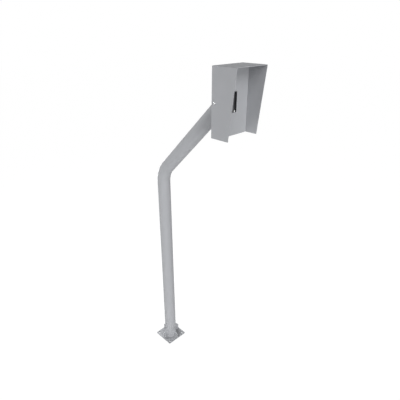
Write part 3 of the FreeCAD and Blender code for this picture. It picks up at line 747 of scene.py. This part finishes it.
# %% Face plate
face_low, face_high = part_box("face_plate")
FACE_SHEET = 1.5 * MM
FACE_FOLD = 2 * MM
CUTOUT_WIDE = 36 * MM
CUTOUT_CORNER = 1.5 * MM
FLANGE_HOLE = 3.2 * MM

face = sheet("coated_face_plate", face_low, (face_high.x, face_low.y, face_high.z), FACING_FRONT)
for side in (face_low.x, face_high.x):
    pick("EDGE", lambda co: same(co.x, side) and same(co.y, face_low.y))
    pull(y=face_high.y - face_low.y)
for side in (face_low.x, face_high.x):
    fold(lambda co: same(co.x, side) and same(co.y, face_low.y), FACE_FOLD)
modify(face, "SOLIDIFY", thickness=FACE_SHEET, offset=-1, use_even_offset=True)
alone(face)
bpy.ops.mesh.primitive_cube_add(size=1, location=(0, face_low.y, CUTOUT_MIDDLE))
cutter = begin("cutout_cutter")
bpy.ops.transform.resize(value=(CUTOUT_WIDE, SHEET_CUTTER, CUTOUT_TALL))
pick_along(Y)
bpy.ops.mesh.bevel(offset=CUTOUT_CORNER, segments=CORNER_STEPS, affect="EDGES")
alone(cutter)
cut(face, cutter)
drill(face, (0, SCREW_Y, SCREW_Z), FLANGE_HOLE, 2 * hood_high.x, "x")
soften(face, INNER_EDGE)
hand_over(face, coat, "powder_coat", "face_plate")

# %% [markdown]
# ## Screws
# A button-head screw each side holds the face plate's flanges to the hood. The head is a shallow
# dome, which is a slice off a ball: a sphere is bisected at the seat, the flat is inset to the
# shank's width and drawn in as the shank, and a six-sided cylinder cuts the socket. The second
# screw is a turned copy.

# %% Screws
HEAD_RADIUS = 4.75 * MM
HEAD_HEIGHT = 2.8 * MM
BALL = (HEAD_RADIUS ** 2 + HEAD_HEIGHT ** 2) / (2 * HEAD_HEIGHT)
SEAT_X = hood_high.x
SHANK_RADIUS = 2.5 * MM
SHANK_LENGTH = 10 * MM
SOCKET_ACROSS = 3 * MM
SOCKET_DEPTH = 1.6 * MM
SCREW_EDGE = 0.15 * MM

alone(face)
bpy.ops.mesh.primitive_uv_sphere_add(segments=ROUND_SIDES, ring_count=ROUND_SIDES, radius=BALL,
                                     location=(SEAT_X + HEAD_HEIGHT - BALL, SCREW_Y, SCREW_Z),
                                     rotation=ALONG["x"])
screw = begin("stainless_face_screws")
bpy.ops.mesh.bisect(plane_co=(SEAT_X, 0, 0), plane_no=-X, use_fill=True, clear_outer=True)
pick("FACE", lambda co: same(co.x, SEAT_X))
bpy.ops.mesh.inset(thickness=HEAD_RADIUS - SHANK_RADIUS)
pull(x=-SHANK_LENGTH)
alone(screw)
bpy.ops.mesh.primitive_cylinder_add(vertices=6, radius=SOCKET_ACROSS / math.sqrt(3),
                                    depth=2 * SOCKET_DEPTH, rotation=ALONG["x"],
                                    location=(SEAT_X + HEAD_HEIGHT, SCREW_Y, SCREW_Z))
cut(screw, bpy.context.object)
soften(screw, SCREW_EDGE)
to_other_side = (Matrix.Translation((0, SCREW_Y, 0)) @ Matrix.Rotation(math.radians(180), 4, "Z")
                 @ Matrix.Translation((0, -SCREW_Y, 0)))
screws = join([screw, moved_copy(screw, "other_screw", to_other_side)], screw.name)
hand_over(screws, stainless, "stainless_steel", "face_screws")

# %% [markdown]
# ## Camera
# The photograph looks down on the pedestal's front left corner from a height of about 1.6 metres.
# The outlines of the plate, the tube and the hood fixed the lens and the place of the camera. The
# lens is given in pixels of the photograph, so it is turned to millimetres for the sensor.

# %% Camera
PHOTO_SIDE = 400
FOCAL_PIXELS = 367.79
SENSOR_WIDTH = 36
CAMERA_PLACE = (-1.0182, -1.2717, 1.6401)
CAMERA_TILT = math.radians(64.52)
CAMERA_TURN = math.radians(-44.73)
lens = bpy.data.cameras.new("camera")
lens.sensor_width = SENSOR_WIDTH
lens.lens = FOCAL_PIXELS / PHOTO_SIDE * SENSOR_WIDTH
camera = bpy.data.objects.new("camera", lens)
camera.location = CAMERA_PLACE
camera.rotation_euler = (CAMERA_TILT, 0, CAMERA_TURN)
bpy.context.scene.collection.objects.link(camera)
bpy.context.scene.camera = camera
print("lens", round(lens.lens, 2), "mm")

# %% [markdown]
# ## Floor, light and background
# The photograph is a studio picture on pure white. The floor and the sky are white only where the
# camera, a reflection or clear glass looks at them, through Light Path, so that the white adds
# nothing to the light on the steel. The floor still takes a faint shadow, because a twelfth of what
# the camera sees there is the lit floor itself. That part is darker than white, so the glow that
# makes up the rest is a little stronger than white.

# %% Floor and background
FLOOR_SIZE = 30
GLOW_SHARE = 0.92
GLOW = 1.06
AMBIENT = 0.02

alone(screws)
bpy.ops.mesh.primitive_plane_add(size=FLOOR_SIZE, location=(0, 0, 0))
floor = bpy.context.object
floor.name = floor.data.name = "studio_floor"
paper, tree = new_look("white_paper_floor")
path = node(tree, "ShaderNodeLightPath")
matt = node(tree, "ShaderNodeBsdfDiffuse", {"Color": linear("#f0f0f0")})
glow = node(tree, "ShaderNodeEmission", {"Color": linear("#ffffff"), "Strength": GLOW})
pale = node(tree, "ShaderNodeMixShader", {0: GLOW_SHARE, 1: matt.outputs[0], 2: glow.outputs[0]})
seen = node(tree, "ShaderNodeMath", {0: path.outputs["Is Camera Ray"],
                                     1: path.outputs["Is Glossy Ray"]}, operation="MAXIMUM")
surface = node(tree, "ShaderNodeMixShader", {0: seen.outputs[0], 1: matt.outputs[0],
                                             2: pale.outputs[0]})
node(tree, "ShaderNodeOutputMaterial", {"Surface": surface.outputs[0]})
floor.data.materials.append(paper)
floor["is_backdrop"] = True

world = bpy.data.worlds.new("studio_world")
bpy.context.scene.world = world
world.use_nodes = True
world.node_tree.nodes.clear()
tree = world.node_tree
path = node(tree, "ShaderNodeLightPath")
glossy = node(tree, "ShaderNodeMath", {0: path.outputs["Is Camera Ray"],
                                       1: path.outputs["Is Glossy Ray"]}, operation="MAXIMUM")
clear = node(tree, "ShaderNodeMath", {0: glossy.outputs[0],
                                      1: path.outputs["Is Transmission Ray"]}, operation="MAXIMUM")
white = node(tree, "ShaderNodeBackground", {"Color": linear("#ffffff"), "Strength": 1.0})
ambient = node(tree, "ShaderNodeBackground", {
    "Color": linear("#ffffff"), "Strength": AMBIENT})
sky = node(tree, "ShaderNodeMixShader", {0: clear.outputs[0], 1: ambient.outputs[0],
                                         2: white.outputs[0]})
node(tree, "ShaderNodeOutputWorld", {"Surface": sky.outputs[0]})

# %% [markdown]
# ## Lamps
# Six soft lamps, each placed by its angle from the camera: positive turns are to its right. Two
# are suns, one with a broad disc and one with a narrower disc, because a sun lights the tall post
# evenly from foot to hood. Three of the softboxes hang below the hood's top, so they only graze it
# and look down on the base plate, and the top comes out darker than the plate, as in the
# photograph. The small ones keep the clear dark shadow that the foot has on the plate. The one at
# the rear left is the only softbox above the hood, and the one behind the foot stands low, where it
# adds nothing to the arm's edge.

# %% Lamps
LARGE_BOX = 1.2
SMALL_BOX = 0.4
MIDDLE = Vector((0, -0.2, 0.8))
FOOT = Vector((0, 0, 0))


def hang(lamp):
    """A light's holder in the scene."""
    holder = bpy.data.objects.new(lamp.name, lamp)
    bpy.context.scene.collection.objects.link(holder)
    return holder


def add_sun(name, turn, height, width, strength):
    """A sun, turned from the camera and raised above the floor; its disc's width in degrees."""
    lamp = bpy.data.lights.new(name, "SUN")
    lamp.energy = strength
    lamp.angle = math.radians(width)
    hang(lamp).rotation_euler = (math.radians(90 - height), 0, CAMERA_TURN + math.radians(turn))


def add_softbox(name, turn, distance, height, width, watts, aim=MIDDLE):
    """A round softbox that looks at one place on the pedestal."""
    lamp = bpy.data.lights.new(name, "AREA")
    lamp.shape = "DISK"
    lamp.size = width
    lamp.energy = watts
    holder = hang(lamp)
    way = CAMERA_TURN + math.radians(turn)
    holder.location = (aim.x + distance * math.sin(way), aim.y - distance * math.cos(way), height)
    holder.rotation_euler = (holder.location - aim).to_track_quat("Z", "Y").to_euler()


add_sun("soft_front", 20, 30, 30, 1.40)
add_sun("soft_above_camera", -10, 40, 12, 0.47)
add_softbox("softbox_front_right", 30, 3.2, 1.45, LARGE_BOX, 30)
add_softbox("softbox_left_low", -60, 2.0, 0.7, LARGE_BOX, 10)
add_softbox("softbox_rear_left", -115, 2.0, 2.2, SMALL_BOX, 21)
add_softbox("softbox_behind_foot", -160, 1.0, 0.7, SMALL_BOX, 9.4, FOOT)
bpy.context.scene.view_settings.view_transform = "Standard"
print(len(bpy.data.lights), "lamps")

# %% [markdown]
# ## Size
# The dressed object must stay inside the CAD box, so both boxes are kept side by side.

# %% Print the sizes
low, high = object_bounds()
sizes = {"cad": [*cad_low, *cad_high], "visual": [*low, *high]}
for name, box in sizes.items():
    print(name, [round(number / MM, 2) for number in box])
